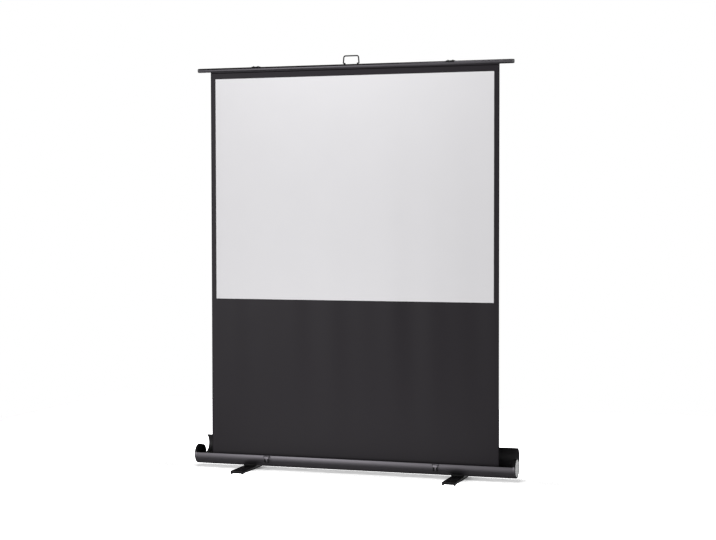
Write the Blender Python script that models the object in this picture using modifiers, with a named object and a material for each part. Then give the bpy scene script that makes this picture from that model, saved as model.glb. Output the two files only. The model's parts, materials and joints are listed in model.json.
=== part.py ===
# Pull-up projection screen: a round aluminium floor case with a hinged lid, a spring roller,
# a three-stage scissor lift behind the fabric, a top bar with a pull handle, and swivel feet.
# Metres, +Z up, the screen faces -Y, the origin is on the floor under the middle of the case.
import math

import bmesh
import bpy
from mathutils import Matrix, Vector

# Fits
GAP = 0.0003
PIN_PLAY = 0.0003
WELD = 0.00001
OVERCUT = 0.001

# Fabric and image
IMAGE_WIDTH = 1.600
IMAGE_HEIGHT = 1.232
IMAGE_BASE_Z = 0.957
SIDE_BORDER = 0.029
TOP_BORDER = 0.039
FABRIC_THICK = 0.0008
COAT_THICK = 0.0004
HEM_RADIUS = 0.0026
HEM_SETBACK = 0.002
FABRIC_Y = -0.019

# Case, lid and their hinge
CASE_RADIUS = 0.0525
CASE_WALL = 0.0018
CASE_Z = 0.072
SPLIT_RISE = 0.011
END_ROOM = 0.082
LIP_DEPTH = 0.005
LID_LIP = 0.003
LID_EDGE_GAP = 0.0009
LID_OPEN_DEG = 101.0
LID_END_PLAY = 0.0044
BEAD_RADIUS = 0.0024
HINGE_DROP = 0.0027
HOOK_WALL = 0.0017
HOOK_MOUTH_DEG = 28.0

# End caps
CAP_THICK = 0.0132
CAP_BEVEL = 0.0020
SPIGOT_LENGTH = 0.0140
SPIGOT_WALL = 0.003
SPIGOT_PLAY = 0.0005
BRIDGE_INNER = 0.0405
BRIDGE_OUTER = 0.0462
POCKET_DEPTH = 0.0085
POCKET_INNER = 0.016
POCKET_OUTER = 0.048
POCKET_SPANS = ((14, 57), (63, 117), (123, 166))
INLAY_RADIUS = 0.0465
INLAY_THICK = 0.0010

# Roller
TUBE_RADIUS = 0.016
TUBE_WALL = 0.0012
TUBE_OVERHANG = 0.006
ROLL_REST_RADIUS = 0.0176
ROLL_STEP = 0.0007
ROLL_WOUND_RADIUS = 0.0223
ROLL_FLOOR_GAP = 0.0034
PLUG_DEPTH = 0.023
PLUG_FLANGE = 0.003
PLUG_TO_BRACKET = 0.004
STUB_TAIL = 0.004
STUB_RADIUS = 0.004
BRACKET_THICK = 0.003
BRACKET_HEAD = 0.011
SPRING_LENGTH = 0.320
SPRING_TURNS = 12
SPRING_WIRE = 0.0012
SPRING_PLAY = 0.0004
ARBOR_BUSH = 0.025

# Scissor lift
ARM_LENGTH = 0.860
ARM_WIDTH = 0.014
ARM_THICK = 0.003
ARM_FRONT_Y = 0.0240
LAYER_GAP = 0.0004
FOLD_GAP = 0.002
STAGES = 3
PIN_RADIUS = 0.003
PIN_HEAD_RADIUS = 0.005
PIN_HEAD_THICK = 0.0012
BASE_PIVOT_RISE = 0.0237
RAIL_THICK = 0.002
RAIL_GAP = 0.001
RAIL_END = 0.034
RAIL_FLANGE = 0.0095
RAIL_CROWN = 0.0085
RAIL_SEAT_GAP = 0.0004

# Top bar, hangers and pull handle
BAR_RADIUS = 0.0118
BAR_WALL = 0.0015
BAR_Y = -0.014
BAR_SLOT = 0.0026
BAR_DROP = 0.003
BAR_INSET = 0.013
PLUG_CAP = 0.0093
PLUG_SPIGOT = 0.015
PLUG_RIM_STEP = 0.0005
PLUG_CHAMFER = 0.0015
HANGER_INSET = 0.352
HANGER_WIDTH = 0.047
HANGER_THICK = 0.0025
HANGER_LEG_GAP = 0.0008
HANDLE_WIDTH = 0.0965
HANDLE_RISE = 0.0484
HANDLE_WIRE = 0.0038
HANDLE_STUB_RADIUS = 0.0020
HANDLE_LEAN_DEG = 4.2
HANDLE_BEND = 0.010
HANDLE_AXIS_RISE = 0.0037
HANDLE_STUB = 0.010
CLIP_WIDTH = 0.0068
CLIP_WALL = 0.0011
CLIP_FLARE = 0.0015

# Carry handle on the lid
CARRY_HALF = 0.085
CARRY_REACH = 0.036
CARRY_WIRE = 0.0034
CARRY_GRIP = 0.0075
CARRY_GRIP_HALF = 0.052
CARRY_AXIS_RISE = 0.0055
CARRY_CLIP_WIDTH = 0.014
CARRY_CLIP_WALL = 0.0025
CARRY_CLIP_FLARE = 0.003
CARRY_BEND = 0.010
CARRY_GRIP_TAPER = 0.010

# Draw latches
LATCH_INSET = 0.424
LATCH_WIDTH = 0.036
LATCH_THICK = 0.0015
LATCH_TOP_DEG = 169.0
LATCH_BOTTOM_DEG = 214.0
LATCH_AXIS_DEG = 174.0
LATCH_AXIS_RISE = 0.0055
LEVER_WIDTH = 0.024
LEVER_THICK = 0.004
LEVER_GAP = 0.0007
LEVER_END_DEG = 208.0
KNUCKLE_RADIUS = 0.0030
LATCH_PIN = 0.0015
EAR_THICK = 0.0023
EAR_RADIUS = 0.0034
BAIL_WIRE = 0.0012
BAIL_LENGTH = 0.024
BAIL_AXIS_DEG = 184.0
CATCH_WIDTH = 0.020
CATCH_TOP_DEG = 148.0
CATCH_BOTTOM_DEG = 163.0
CATCH_HOOK_DEG = 151.5
CATCH_HOOK_RISE = 0.0051
BAIL_STUB = 0.004
BAIL_BEND = 0.003

# Feet
FOOT_INSET = 0.309
FOOT_WIDTH = 0.071
FOOT_LENGTH = 0.430
FOOT_HEIGHT = 0.0172
FOOT_WALL = 0.0018
FOOT_CORNER = 0.004
PAD_RISE = 0.0045
PAD_WIDTH = 0.008
PAD_LENGTH = 0.012
PAD_HEIGHT = 0.0066
PAD_SWELL = 0.0007
RIB_COUNT = 5
RIB_WIDTH = 0.004
RIB_HEIGHT = 0.0008
SADDLE_LENGTH = 0.066
SADDLE_DEPTH = 0.056
BOLT_RADIUS = 0.004
BOLT_HEAD_RADIUS = 0.0075
BOLT_HEAD_THICK = 0.0035

# Sizes that follow from those above
FABRIC_HALF = IMAGE_WIDTH / 2 + SIDE_BORDER
CASE_HALF = FABRIC_HALF + END_ROOM
BAR_HALF = CASE_HALF - BAR_INSET
CASE_INNER = CASE_RADIUS - CASE_WALL
CASE_MID = CASE_RADIUS - CASE_WALL / 2
CASE_FLOOR_Z = CASE_Z - CASE_INNER
IMAGE_TOP_Z = IMAGE_BASE_Z + IMAGE_HEIGHT
BAR_Z = IMAGE_TOP_Z + TOP_BORDER + BAR_RADIUS
BAR_INNER = BAR_RADIUS - BAR_WALL
BAR_TOP_Z = BAR_Z + BAR_RADIUS
HEM_Z = BAR_Z - HEM_RADIUS - HEM_SETBACK
FABRIC_BACK_Y = FABRIC_Y + FABRIC_THICK / 2
FABRIC_FRONT_Y = FABRIC_Y - FABRIC_THICK / 2

ROLLER_Y = FABRIC_BACK_Y + GAP + ROLL_REST_RADIUS
ROLLER_Z = CASE_FLOOR_Z + ROLL_WOUND_RADIUS + ROLL_FLOOR_GAP
TUBE_HALF = FABRIC_HALF + TUBE_OVERHANG
TUBE_INNER = TUBE_RADIUS - TUBE_WALL
BRACKET_X = TUBE_HALF + GAP + PLUG_FLANGE + PLUG_TO_BRACKET
STUB_END_X = BRACKET_X + BRACKET_THICK + STUB_TAIL
SPRING_END_X = TUBE_HALF - PLUG_DEPTH - GAP - SPRING_WIRE
SPRING_START_X = SPRING_END_X - SPRING_LENGTH
SPRING_RADIUS = TUBE_INNER - SPRING_PLAY - SPRING_WIRE

ARM_BACK_Y = ARM_FRONT_Y + ARM_THICK + LAYER_GAP
STACK_BACK_Y = ARM_BACK_Y + ARM_THICK
RAIL_Y = STACK_BACK_Y + RAIL_GAP
RAIL_BACK_Y = RAIL_Y + RAIL_THICK
BASE_PIVOT_Z = CASE_FLOOR_Z + BASE_PIVOT_RISE
TOP_PIVOT_Z = BAR_Z + BAR_DROP
LIFT_RISE = TOP_PIVOT_Z - BASE_PIVOT_Z
STAGE_RISE = LIFT_RISE / STAGES
ARM_ANGLE = math.asin(STAGE_RISE / ARM_LENGTH)
FOLD_ANGLE = math.asin((ARM_WIDTH + FOLD_GAP) / ARM_LENGTH)
ARM_SPAN = ARM_LENGTH * math.cos(ARM_ANGLE)
PIVOT_LEFT_X = -ARM_SPAN / 2
PIVOT_RIGHT_X = PIVOT_LEFT_X + ARM_SPAN
FOLDED_RIGHT_X = PIVOT_LEFT_X + ARM_LENGTH * math.cos(FOLD_ANGLE)

HINGE_DEG = -math.degrees(math.asin(HINGE_DROP / CASE_MID))
HINGE_Y = CASE_MID * math.cos(math.radians(HINGE_DEG))
HINGE_Z = CASE_Z + CASE_MID * math.sin(math.radians(HINGE_DEG))
HOOK_INNER = BEAD_RADIUS + GAP
HOOK_OUTER = HOOK_INNER + HOOK_WALL

HANDLE_AXIS_Z = BAR_TOP_Z + HANDLE_AXIS_RISE
HANGER_X = CASE_HALF - HANGER_INSET
LATCH_X = CASE_HALF - LATCH_INSET
FOOT_X = CASE_HALF - FOOT_INSET
FOOT_PLATE_Z = FOOT_HEIGHT - RIB_HEIGHT
SADDLE_BASE_Z = FOOT_HEIGHT + GAP
LATCH_INNER = CASE_RADIUS + GAP
LATCH_OUTER = LATCH_INNER + LATCH_THICK
LEVER_INNER = LATCH_OUTER + LEVER_GAP
LATCH_AXIS_R = CASE_RADIUS + LATCH_AXIS_RISE

# World axes of a profile that is drawn in one plane and extruded along the third axis
ALONG_X = Matrix(((0, 0, 1), (1, 0, 0), (0, 1, 0))).to_4x4()
ALONG_MINUS_X = Matrix(((0, 0, -1), (-1, 0, 0), (0, 1, 0))).to_4x4()
ALONG_Y = Matrix(((1, 0, 0), (0, 0, -1), (0, 1, 0))).to_4x4()
ALONG_Z = Matrix.Identity(4)
SIDES = (("left", -1), ("right", 1))


def clear_scene():
    for obj in list(bpy.data.objects):
        bpy.data.objects.remove(obj, do_unlink=True)


def new_collection(name):
    collection = bpy.data.collections.new(name)
    bpy.context.scene.collection.children.link(collection)
    return collection


def new_material(name, colour, roughness, metallic=0.0):
    material = bpy.data.materials.new(name)
    material.use_nodes = True
    shader = material.node_tree.nodes["Principled BSDF"]
    shader.inputs["Base Color"].default_value = (*colour, 1.0)
    shader.inputs["Roughness"].default_value = roughness
    shader.inputs["Metallic"].default_value = metallic
    material.diffuse_color = (*colour, 1.0)
    return material


def arc(centre, radius, start_deg, end_deg, steps):
    points = []
    for i in range(steps + 1):
        angle = math.radians(start_deg + (end_deg - start_deg) * i / steps)
        points.append((centre[0] + radius * math.cos(angle), centre[1] + radius * math.sin(angle)))
    return points


def circle(centre, radius, steps=20):
    return arc(centre, radius, 0, 360, steps)[:-1]


def ring_sector(inner, outer, start_deg, end_deg, steps):
    return arc((0, 0), outer, start_deg, end_deg, steps) + arc((0, 0), inner, end_deg, start_deg, steps)


def stadium(start, end, radius, steps=8):
    return arc((end, 0), radius, -90, 90, steps) + arc((start, 0), radius, 90, 270, steps)


def place(obj, location, axes, parent=None):
    obj.matrix_basis = Matrix.Translation(Vector(location)) @ axes
    if parent:
        obj.parent = parent
    return obj


def add_object(name, data, material, collection):
    obj = bpy.data.objects.new(name, data)
    collection.objects.link(obj)
    if material:
        data.materials.append(material)
    return obj


def extruded(name, loops, length, material, location, axes=ALONG_X, parent=None):
    """A flat outline, with any holes as further loops, extruded evenly about its own plane."""
    curve = bpy.data.curves.new(name, "CURVE")
    curve.dimensions = "2D"
    curve.fill_mode = "BOTH"
    curve.extrude = length / 2
    for loop in loops:
        spline = curve.splines.new("POLY")
        spline.points.add(len(loop) - 1)
        for point, (x, y) in zip(spline.points, loop):
            point.co = (x, y, 0, 1)
        spline.use_cyclic_u = True
    obj = add_object(name, curve, material, parts)
    return place(obj, location, axes, parent)


def wire(name, points, radius, material, location, parent=None, sizes=None, resolution=2):
    """A round wire along the points, its radius scaled point by point where sizes is given."""
    curve = bpy.data.curves.new(name, "CURVE")
    curve.dimensions = "3D"
    curve.bevel_depth = radius
    curve.bevel_resolution = resolution
    curve.use_fill_caps = True
    spline = curve.splines.new("POLY")
    spline.points.add(len(points) - 1)
    for i, point in enumerate(points):
        spline.points[i].co = (*point, 1)
        if sizes:
            spline.points[i].radius = sizes[i]
    obj = add_object(name, curve, material, parts)
    return place(obj, location, ALONG_Z, parent)


def turned(name, profile, material, location, axes=ALONG_X, parent=None, steps=24):
    """A profile of (distance along the axis, radius), from its far end back, turned with Screw."""
    mesh = bpy.data.meshes.new(name)
    verts = [(radius, 0, along) for along, radius in profile]
    edges = [(i, i + 1) for i in range(len(verts) - 1)]
    if profile[0][1] > 0:
        edges.append((len(verts) - 1, 0))
    mesh.from_pydata(verts, edges, [])
    obj = add_object(name, mesh, material, parts)
    screw = obj.modifiers.new("turn", "SCREW")
    screw.steps = steps
    screw.render_steps = steps
    screw.use_merge_vertices = True
    screw.merge_threshold = WELD
    screw.use_smooth_shade = False
    return place(obj, location, axes, parent)


def as_mesh(obj):
    """Swap a curve or a modified object for its welded, outward-facing mesh."""
    bpy.context.view_layer.update()
    graph = bpy.context.evaluated_depsgraph_get()
    mesh = bpy.data.meshes.new_from_object(obj.evaluated_get(graph), depsgraph=graph)
    work = bmesh.new()
    work.from_mesh(mesh)
    bmesh.ops.remove_doubles(work, verts=work.verts, dist=WELD)
    bmesh.ops.recalc_face_normals(work, faces=work.faces)
    work.to_mesh(mesh)
    work.free()
    name = obj.name
    parent = obj.parent
    basis = obj.matrix_basis.copy()
    bpy.data.objects.remove(obj, do_unlink=True)
    solid = add_object(name, mesh, None, parts)
    solid.matrix_basis = basis
    solid.parent = parent
    return solid


def combine(target, other, operation):
    """Cut or join a mesh with another one, which stays behind as a hidden guide."""
    other = as_mesh(other)
    parts.objects.unlink(other)
    cutters.objects.link(other)
    other.hide_render = True
    other.display_type = "WIRE"
    change = target.modifiers.new(operation.lower(), "BOOLEAN")
    change.operation = operation
    change.solver = "EXACT"
    change.object = other
    return target


def box(name, size, location, tilt=0.0):
    mesh = bpy.data.meshes.new(name)
    work = bmesh.new()
    bmesh.ops.create_cube(work, size=1.0, matrix=Matrix.Diagonal((*size, 1.0)))
    work.to_mesh(mesh)
    work.free()
    obj = add_object(name, mesh, None, parts)
    return place(obj, location, Matrix.Rotation(tilt, 4, "Y"))


def rod(name, radius, length, location, axes=ALONG_X, steps=20):
    mesh = bpy.data.meshes.new(name)
    work = bmesh.new()
    bmesh.ops.create_cone(work, cap_ends=True, segments=steps, radius1=radius, radius2=radius, depth=length)
    work.to_mesh(mesh)
    work.free()
    obj = add_object(name, mesh, None, parts)
    return place(obj, location, axes)


def polar(radius, degrees):
    angle = math.radians(degrees)
    return radius * math.cos(angle), radius * math.sin(angle)


def end_axes(side):
    return ALONG_X if side > 0 else ALONG_MINUS_X


def make_case():
    """The lower half of the round extrusion: a front lip, a half-round trough and a hinge bead."""
    front = 180 - math.degrees(math.asin(SPLIT_RISE / CASE_RADIUS))
    lip_floor = SPLIT_RISE - CASE_WALL
    inner_front = 180 - math.degrees(math.asin(lip_floor / CASE_INNER))
    neck = math.sqrt(BEAD_RADIUS ** 2 - (CASE_WALL / 2) ** 2) / CASE_MID
    rear = 360 + HINGE_DEG - math.degrees(neck)
    neck_turn = math.degrees(math.asin(CASE_WALL / 2 / BEAD_RADIUS))
    bead = polar(CASE_MID, HINGE_DEG)
    lip_end = -CASE_INNER + LIP_DEPTH
    outline = arc((0, 0), CASE_RADIUS, front, rear, 48)
    outline += arc(bead, BEAD_RADIUS, HINGE_DEG - 90 + neck_turn, HINGE_DEG + 270 - neck_turn, 16)[1:-1]
    outline += arc((0, 0), CASE_INNER, rear, inner_front, 48)
    outline += [(lip_end, lip_floor), (lip_end, SPLIT_RISE)]
    extruded("case_shell", [outline], 2 * CASE_HALF, anodised, (0, 0, CASE_Z))


def make_lid():
    """The upper half of the extrusion, drawn closed about the hinge bead and swung open."""
    hinge = bpy.data.objects.new("lid_hinge", None)
    parts.objects.link(hinge)
    hinge.location = (0, HINGE_Y, HINGE_Z)
    hinge.rotation_euler.x = -math.radians(LID_OPEN_DEG)
    bead = polar(CASE_MID, HINGE_DEG)
    front = 180 - math.degrees(math.asin((SPLIT_RISE + LID_EDGE_GAP) / CASE_RADIUS))
    inner_front = 180 - math.degrees(math.asin((SPLIT_RISE + LID_EDGE_GAP + CASE_WALL) / CASE_INNER))
    foot = math.sqrt(HOOK_OUTER ** 2 - (CASE_WALL / 2) ** 2) / CASE_MID
    start = HINGE_DEG + math.degrees(foot)
    wall_turn = math.degrees(math.asin(CASE_WALL / 2 / HOOK_OUTER))
    mouth_low = HINGE_DEG + 270 - HOOK_MOUTH_DEG
    mouth_high = HINGE_DEG - 90 + LID_OPEN_DEG + HOOK_MOUTH_DEG
    lip_end = -CASE_INNER + LID_LIP
    lip_z = SPLIT_RISE + LID_EDGE_GAP
    outline = arc(bead, HOOK_OUTER, mouth_high, HINGE_DEG + 90 - wall_turn, 3)[:-1]
    outline += arc((0, 0), CASE_RADIUS, start, front, 44)
    outline += [(lip_end, lip_z), (lip_end, lip_z + CASE_WALL)]
    outline += arc((0, 0), CASE_INNER, inner_front, start, 44)
    outline += arc(bead, HOOK_OUTER, HINGE_DEG + 90 + wall_turn, mouth_low, 12)[1:]
    outline += arc(bead, HOOK_INNER, mouth_low, mouth_high, 16)
    outline = from_hinge(outline)
    length = 2 * CASE_HALF - LID_END_PLAY
    extruded("lid_shell", [outline], length, anodised, (LID_END_PLAY / 2, 0, 0), parent=hinge)
    make_carry_handle(hinge)
    make_lid_catches(hinge)


def from_hinge(points):
    """Points given about the case axis, moved so that the lid hinge is their origin."""
    return [(y - HINGE_Y, z - (HINGE_Z - CASE_Z)) for y, z in points]


def make_carry_handle(hinge):
    """A bail with a thick grip in two clips on the crown of the lid, hanging by its weight."""
    axis = (0, CASE_RADIUS + CARRY_AXIS_RISE)
    hole = CARRY_WIRE + PIN_PLAY
    top = CARRY_AXIS_RISE + hole + CARRY_CLIP_WALL
    half = hole + CARRY_CLIP_WALL + CARRY_CLIP_FLARE
    spread = math.degrees(math.asin(half / (CASE_RADIUS + GAP)))
    outline = arc((0, 0), CASE_RADIUS + GAP, 90 + spread, 90 - spread, 8)
    crown = hole + CARRY_CLIP_WALL
    outline += arc((0, CASE_RADIUS + top - crown), crown, 0, 180, 10)
    clip_x = CARRY_HALF - CARRY_WIRE - GAP - CARRY_CLIP_WIDTH / 2
    for label, side in SIDES:
        loops = [from_hinge(outline), from_hinge(circle(axis, hole, 16))]
        extruded("carry_clip_" + label, loops, CARRY_CLIP_WIDTH, plastic, (side * clip_x, 0, 0), parent=hinge)
    pivot = bpy.data.objects.new("carry_handle_pivot", None)
    parts.objects.link(pivot)
    pivot.parent = hinge
    local = from_hinge([axis])[0]
    pivot.location = (0, local[0], local[1])
    pivot.rotation_euler.x = math.radians(LID_OPEN_DEG)
    stub_x = CARRY_HALF - CARRY_WIRE - GAP - CARRY_CLIP_WIDTH
    right = [(stub_x, 0), (CARRY_HALF - CARRY_WIRE * 1.5, 0)]
    right += arc((CARRY_HALF - CARRY_WIRE, -CARRY_WIRE), CARRY_WIRE, 90, 0, 3)[1:]
    right += arc((CARRY_HALF - CARRY_BEND, -CARRY_REACH + CARRY_BEND), CARRY_BEND, 0, -90, 5)
    grip_rise = CARRY_GRIP_HALF + CARRY_GRIP_TAPER
    right += [(grip_rise, -CARRY_REACH), (CARRY_GRIP_HALF, -CARRY_REACH), (CARRY_GRIP_HALF / 2, -CARRY_REACH)]
    path = [(x, 0, z) for x, z in right] + [(-x, 0, z) for x, z in reversed(right)]
    sizes = [CARRY_GRIP / CARRY_WIRE if abs(x) <= CARRY_GRIP_HALF and z < 0 else 1.0 for x, y, z in path]
    wire("carry_handle", path, CARRY_WIRE, plastic, (0, 0, 0), pivot, sizes)


def make_lid_catches(hinge):
    """The hooked plates near the lid's front edge that the latch bails pull on."""
    base = CASE_RADIUS + GAP
    plate = base + LATCH_THICK
    tip = base + CATCH_HOOK_RISE
    outline = arc((0, 0), base, CATCH_TOP_DEG, CATCH_BOTTOM_DEG, 6)
    outline += [polar(plate, CATCH_BOTTOM_DEG), polar(plate, CATCH_HOOK_DEG + 5.5)]
    outline += [polar(tip, CATCH_HOOK_DEG + 2.5), polar(tip, CATCH_HOOK_DEG), polar(plate, CATCH_HOOK_DEG)]
    outline += [polar(plate, CATCH_TOP_DEG)]
    for label, side in SIDES:
        loops = [from_hinge(outline)]
        extruded("lid_catch_" + label, loops, CATCH_WIDTH, steel, (side * LATCH_X, 0, 0), parent=hinge)


def make_end_caps():
    """Round end caps with a spigot, bridged where the hinge passes, a cored-out upper half and a disc."""
    spigot = CASE_INNER - SPIGOT_PLAY
    hollow = spigot - SPIGOT_WALL
    face = CASE_HALF + GAP
    inlay_depth = INLAY_THICK + GAP
    profile = [(CAP_THICK - inlay_depth, 0), (CAP_THICK - inlay_depth, INLAY_RADIUS + GAP)]
    profile += [(CAP_THICK, INLAY_RADIUS + GAP), (CAP_THICK, CASE_RADIUS - CAP_BEVEL)]
    profile += [(CAP_THICK - CAP_BEVEL, CASE_RADIUS), (0, CASE_RADIUS), (0, 0)]
    for label, side in SIDES:
        name = "end_cap_" + label
        cap = as_mesh(turned(name, profile, plastic, (side * face, 0, CASE_Z), end_axes(side), steps=48))
        middle = (side * (face - SPIGOT_LENGTH / 2 + OVERCUT / 2), 0, CASE_Z)
        walls = [ring_sector(hollow, spigot, 188, 348, 32), ring_sector(hollow, spigot, 8, 90, 16)]
        walls.append(ring_sector(BRIDGE_INNER, BRIDGE_OUTER, -16, 12, 6))
        for wall in walls:
            combine(cap, extruded(name + "_spigot", [wall], SPIGOT_LENGTH + OVERCUT, None, middle), "UNION")
        middle = (side * (face + POCKET_DEPTH / 2 - OVERCUT / 2), 0, CASE_Z)
        for start, end in POCKET_SPANS:
            sector = ring_sector(POCKET_INNER, POCKET_OUTER, start, end, 12)
            pocket = extruded(name + "_pocket", [sector], POCKET_DEPTH + OVERCUT, None, middle)
            combine(cap, pocket, "DIFFERENCE")
        disc = [(CAP_THICK, 0), (CAP_THICK, INLAY_RADIUS), (CAP_THICK - INLAY_THICK, INLAY_RADIUS)]
        disc += [(CAP_THICK - INLAY_THICK, 0)]
        turned("cap_inlay_" + label, disc, inlay, (side * face, 0, CASE_Z), end_axes(side), steps=48)


def make_roller():
    """A spring roller: tube, end plugs, torsion spring on a fixed arbor, and the last wraps of fabric."""
    centre = (0, ROLLER_Y, ROLLER_Z)
    tube = [circle((0, 0), TUBE_RADIUS, 32), circle((0, 0), TUBE_INNER, 32)]
    extruded("roller_tube", tube, 2 * TUBE_HALF, raw_aluminium, centre)
    wraps = []
    for i in range(49):
        turn = i / 48
        wraps.append(polar(ROLL_REST_RADIUS - ROLL_STEP * (1 - turn), 180 + 360 * turn))
    core = circle((0, 0), TUBE_RADIUS + GAP, 32)
    extruded("fabric_roll", [wraps, core], 2 * FABRIC_HALF, black_fabric, centre)
    seat = TUBE_INNER - GAP
    flange = PLUG_FLANGE + GAP
    shaft = STUB_END_X - TUBE_HALF
    plug = [(shaft, 0), (shaft, STUB_RADIUS), (flange, STUB_RADIUS), (flange, TUBE_RADIUS)]
    plug += [(GAP, TUBE_RADIUS), (GAP, seat), (-PLUG_DEPTH, seat), (-PLUG_DEPTH, 0)]
    turned("roller_plug_left", plug, plastic, (-TUBE_HALF, ROLLER_Y, ROLLER_Z), ALONG_MINUS_X)
    bore = STUB_RADIUS + PIN_PLAY
    bush = [(flange, bore), (flange, TUBE_RADIUS), (GAP, TUBE_RADIUS), (GAP, seat)]
    bush += [(-PLUG_DEPTH, seat), (-PLUG_DEPTH, bore)]
    turned("roller_plug_right", bush, plastic, (TUBE_HALF, ROLLER_Y, ROLLER_Z))
    arbor_end = SPRING_START_X - SPRING_WIRE - GAP
    arbor = [(STUB_END_X, 0), (STUB_END_X, STUB_RADIUS), (arbor_end, STUB_RADIUS), (arbor_end, seat)]
    arbor += [(arbor_end - ARBOR_BUSH, seat), (arbor_end - ARBOR_BUSH, 0)]
    turned("spring_arbor", arbor, steel, (0, ROLLER_Y, ROLLER_Z))
    make_spring()
    make_roller_brackets()


def make_spring():
    points = []
    steps = 8 * SPRING_TURNS
    for i in range(steps + 1):
        y, z = polar(SPRING_RADIUS, 45 * i)
        points.append((SPRING_START_X + SPRING_LENGTH * i / steps, y, z))
    spread = [(Vector(points[i]) - Vector(points[i + 8])).length for i in range(steps - 7)]
    print("torsion spring: least gap between turns %.4f m" % (min(spread) - 2 * SPRING_WIRE))
    wire("torsion_spring", points, SPRING_WIRE, steel, (0, ROLLER_Y, ROLLER_Z), resolution=1)


def make_roller_brackets():
    """Plates that stand on the case floor and carry the roller's stub and the spring arbor."""
    seat = CASE_INNER - GAP
    axis = (ROLLER_Y, ROLLER_Z - CASE_Z)
    outline = arc((0, 0), seat, 246, 294, 12) + arc(axis, BRACKET_HEAD, 0, 180, 14)
    hole = circle(axis, STUB_RADIUS + PIN_PLAY, 20)
    for label, side in SIDES:
        middle = side * (BRACKET_X + BRACKET_THICK / 2)
        extruded("roller_bracket_" + label, [outline, hole], BRACKET_THICK, steel, (middle, 0, CASE_Z))


def make_fabric():
    """The black sheet with its hem in the bar's slot, and the white image surface on its front."""
    neck = math.degrees(math.asin(FABRIC_THICK / 2 / HEM_RADIUS))
    outline = [(FABRIC_BACK_Y, ROLLER_Z)]
    outline += arc((FABRIC_Y, HEM_Z), HEM_RADIUS, -90 + neck, 270 - neck, 14)
    outline += [(FABRIC_FRONT_Y, ROLLER_Z)]
    extruded("screen_fabric", [outline], 2 * FABRIC_HALF, black_fabric, (0, 0, 0))
    face_y = FABRIC_FRONT_Y - GAP - COAT_THICK
    panel = [(face_y, IMAGE_BASE_Z), (face_y + COAT_THICK, IMAGE_BASE_Z)]
    panel += [(face_y + COAT_THICK, IMAGE_TOP_Z), (face_y, IMAGE_TOP_Z)]
    extruded("image_surface", [panel], IMAGE_WIDTH, white_fabric, (0, 0, 0))


def rivet(name, x, z, front_y, back_y, tail=0.0):
    """A headed pin along Y; a tail length adds a second head behind."""
    head = front_y - GAP
    profile = [(head - PIN_HEAD_THICK, 0), (head - PIN_HEAD_THICK, PIN_HEAD_RADIUS), (head, PIN_HEAD_RADIUS)]
    profile += [(head, PIN_RADIUS)]
    if tail:
        profile += [(back_y + GAP, PIN_RADIUS), (back_y + GAP, PIN_HEAD_RADIUS)]
        profile += [(back_y + GAP + tail, PIN_HEAD_RADIUS), (back_y + GAP + tail, 0)]
    else:
        profile += [(back_y, PIN_RADIUS), (back_y, 0)]
    turned(name, [(-along, radius) for along, radius in profile], steel, (x, 0, z), ALONG_Y, steps=12)


def make_scissor():
    """Crossed arms in two layers, three stages high, riveted at their ends and middles."""
    half = ARM_LENGTH / 2
    radius = ARM_WIDTH / 2
    hole = PIN_RADIUS + PIN_PLAY
    front_mid = ARM_FRONT_Y + ARM_THICK / 2
    back_mid = ARM_BACK_Y + ARM_THICK / 2
    for stage in range(STAGES):
        label = str(stage + 1)
        low = BASE_PIVOT_Z + stage * STAGE_RISE
        rising = [stadium(0, ARM_LENGTH, radius)]
        rising += [circle((x, 0), hole, 16) for x in (0, half, ARM_LENGTH)]
        turn = Matrix.Rotation(-ARM_ANGLE, 4, "Y") @ ALONG_Y
        extruded("front_arm_" + label, rising, ARM_THICK, steel_black, (PIVOT_LEFT_X, front_mid, low), turn)
        falling = [stadium(-half, half, radius)]
        falling += [circle((x, 0), hole, 16) for x in (-half, 0, half)]
        turn = Matrix.Rotation(ARM_ANGLE, 4, "Y") @ ALONG_Y
        cross = low + STAGE_RISE / 2
        extruded("rear_arm_" + label, falling, ARM_THICK, steel_black, (0, back_mid, cross), turn)
        rivet("centre_rivet_" + label, 0, cross, ARM_FRONT_Y, STACK_BACK_Y)
        if stage < STAGES - 1:
            high = low + STAGE_RISE
            rivet("left_knuckle_rivet_" + label, PIVOT_LEFT_X, high, ARM_FRONT_Y, STACK_BACK_Y)
            rivet("right_knuckle_rivet_" + label, PIVOT_RIGHT_X, high, ARM_FRONT_Y, STACK_BACK_Y)
    rivet("base_pivot_pin", PIVOT_LEFT_X, BASE_PIVOT_Z, ARM_FRONT_Y, RAIL_BACK_Y, PIN_HEAD_THICK)
    rivet("base_slide_pin", PIVOT_RIGHT_X, BASE_PIVOT_Z, ARM_BACK_Y, RAIL_BACK_Y, PIN_HEAD_THICK)
    rivet("top_pivot_pin", PIVOT_LEFT_X, TOP_PIVOT_Z, ARM_BACK_Y, RAIL_BACK_Y, PIN_HEAD_THICK)
    rivet("top_slide_pin", PIVOT_RIGHT_X, TOP_PIVOT_Z, ARM_FRONT_Y, RAIL_BACK_Y, PIN_HEAD_THICK)


def rail(name, outline, start_x, end_x, pivot_z):
    """An angle rail with a pivot hole on the left and a slide slot for the other end of the scissor."""
    body = extruded(name, [outline], end_x - start_x, steel_black, ((start_x + end_x) / 2, 0, 0))
    body = as_mesh(body)
    hole = PIN_RADIUS + PIN_PLAY
    through = 6 * RAIL_THICK
    middle_y = RAIL_Y + RAIL_THICK / 2
    slot = stadium(PIVOT_RIGHT_X - PIN_PLAY, FOLDED_RIGHT_X + PIN_PLAY, hole)
    cutter = extruded(name + "_slot", [slot], through, None, (0, middle_y, pivot_z), ALONG_Y)
    combine(body, cutter, "DIFFERENCE")
    pivot = [circle((PIVOT_LEFT_X, 0), hole, 16)]
    bore = extruded(name + "_hole", pivot, through, None, (0, middle_y, pivot_z), ALONG_Y)
    combine(body, bore, "DIFFERENCE")


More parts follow.
